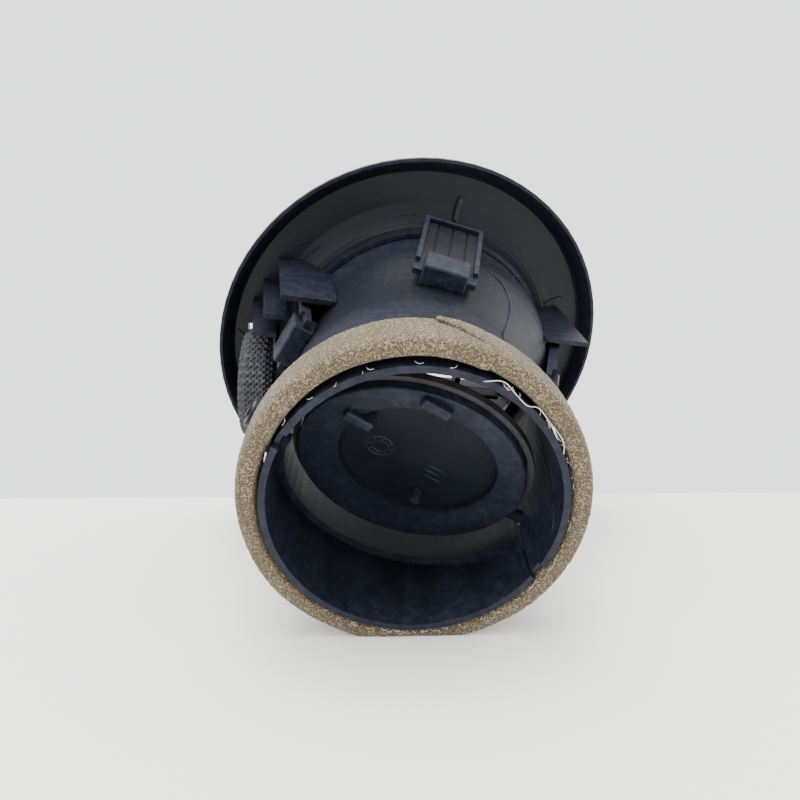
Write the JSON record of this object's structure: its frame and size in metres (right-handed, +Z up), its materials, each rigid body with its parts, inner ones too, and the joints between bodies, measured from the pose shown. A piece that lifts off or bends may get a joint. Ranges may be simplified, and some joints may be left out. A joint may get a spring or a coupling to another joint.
{
  "type": "air vent",
  "caption": "Round swivelling dashboard air vent with a dished bezel, tilting louvres, a damper flap worked by a thumbwheel, snap arms and a foam-sealed duct collar.",
  "frame": {"origin": "on the ground plane under the middle of the part, as it lies on its bezel rim and its foam strip", "axes": "+Z up; +Y from the duct mouth towards the bezel; +X to the right as the duct mouth is looked into"},
  "size_m": [0.1202, 0.123, 0.1134],
  "materials": {
    "housing_plastic": "semi-matt moulded, faintly grained",
    "bezel_plastic": "matt moulded, fine grain",
    "moving_plastic": "smooth matt",
    "grip_plastic": "cross-hatched matt",
    "trim_plastic": "satin gloss",
    "foam": "open-cell foam, grainy",
    "seal_rubber": "matt"
  },
  "bodies": {
    "shell": {"housing": "housing_plastic", "pin_keeper_left": "housing_plastic", "pin_keeper_right": "housing_plastic", "bezel": "bezel_plastic", "top_clip": "housing_plastic", "left_clip": "housing_plastic", "right_clip": "housing_plastic", "rib_left_upper": "bezel_plastic", "rib_left_middle": "bezel_plastic", "rib_left_lower": "bezel_plastic", "rib_right": "bezel_plastic", "wheel_bracket": "housing_plastic", "wheel_axle": "moving_plastic", "foam_seal": "foam", "trim_ring": "trim_plastic", "retainer_ring": "trim_plastic"},
    "barrel": {"barrel_ring": "moving_plastic"},
    "louvre_body_1": {"louvre_1": "moving_plastic"},
    "louvre_body_2": {"louvre_2": "moving_plastic"},
    "louvre_body_3": {"louvre_3": "moving_plastic", "finger_tab": "grip_plastic"},
    "louvre_body_4": {"louvre_4": "moving_plastic"},
    "louvre_body_5": {"louvre_5": "moving_plastic"},
    "tie": {"tie_bar": "moving_plastic"},
    "flap": {"flap_disc": "moving_plastic", "flap_seal_upper": "seal_rubber", "flap_seal_lower": "seal_rubber", "flap_pin_left": "moving_plastic", "flap_pin_right": "moving_plastic", "flap_peg": "moving_plastic", "flap_crank": "moving_plastic"},
    "wheel": {"thumbwheel": "grip_plastic"},
    "rod": {"link_rod": "moving_plastic"}
  },
  "joints": [
    {"name": "barrel_turn", "type": "hinge", "parent": "shell", "child": "barrel", "pos_m": [0.00009, 0.03355, 0.05652], "axis": [0.1468, -0.9195, -0.3646], "continuous": true},
    {"name": "louvre_3_tilt", "type": "hinge", "parent": "barrel", "child": "louvre_body_3", "pos_m": [0.00016, 0.03309, 0.05634], "axis": [0.9676, 0.2101, -0.1401], "range_deg": [-35, 35]},
    {"name": "louvre_1_tilt", "type": "hinge", "parent": "barrel", "child": "louvre_body_1", "pos_m": [-0.00436, 0.0404, 0.03609], "axis": [0.9676, 0.2101, -0.1401], "range_deg": [-35, 35]},
    {"name": "louvre_2_tilt", "type": "hinge", "parent": "barrel", "child": "louvre_body_2", "pos_m": [-0.0021, 0.03674, 0.04621], "axis": [0.9676, 0.2101, -0.1401], "range_deg": [-35, 35]},
    {"name": "louvre_4_tilt", "type": "hinge", "parent": "barrel", "child": "louvre_body_4", "pos_m": [0.00242, 0.02943, 0.06646], "axis": [0.9676, 0.2101, -0.1401], "range_deg": [-35, 35]},
    {"name": "louvre_5_tilt", "type": "hinge", "parent": "barrel", "child": "louvre_body_5", "pos_m": [0.00468, 0.02578, 0.07659], "axis": [0.9676, 0.2101, -0.1401], "range_deg": [-35, 35]},
    {"name": "tie_pivot", "type": "hinge", "parent": "louvre_body_3", "child": "tie", "pos_m": [0.01322, 0.02907, 0.05198], "axis": [0.9676, 0.2101, -0.1401], "range_deg": [-35, 35]},
    {"name": "thumbwheel_turn", "type": "hinge", "parent": "shell", "child": "wheel", "pos_m": [-0.04647, 0.02101, 0.04881], "axis": [0.9986, 0.0135, -0.0506], "range_deg": [0, 65]},
    {"name": "flap_turn", "type": "hinge", "parent": "shell", "child": "flap", "pos_m": [-0.00331, -0.03273, 0.03882], "axis": [0.8554, 0.1337, -0.5005], "range_deg": [0, 65]},
    {"name": "rod_pivot", "type": "hinge", "parent": "wheel", "child": "rod", "pos_m": [-0.04678, 0.0189, 0.04214], "axis": [0.9986, 0.0135, -0.0506], "range_deg": [-65, 0]}
  ],
  "couplings": [
    {"joint": "louvre_1_tilt", "follows": "louvre_3_tilt", "ratio": 1},
    {"joint": "louvre_2_tilt", "follows": "louvre_3_tilt", "ratio": 1},
    {"joint": "louvre_4_tilt", "follows": "louvre_3_tilt", "ratio": 1},
    {"joint": "louvre_5_tilt", "follows": "louvre_3_tilt", "ratio": 1},
    {"joint": "tie_pivot", "follows": "louvre_3_tilt", "ratio": -1},
    {"joint": "flap_turn", "follows": "thumbwheel_turn", "ratio": 1},
    {"joint": "rod_pivot", "follows": "thumbwheel_turn", "ratio": -1}
  ]
}
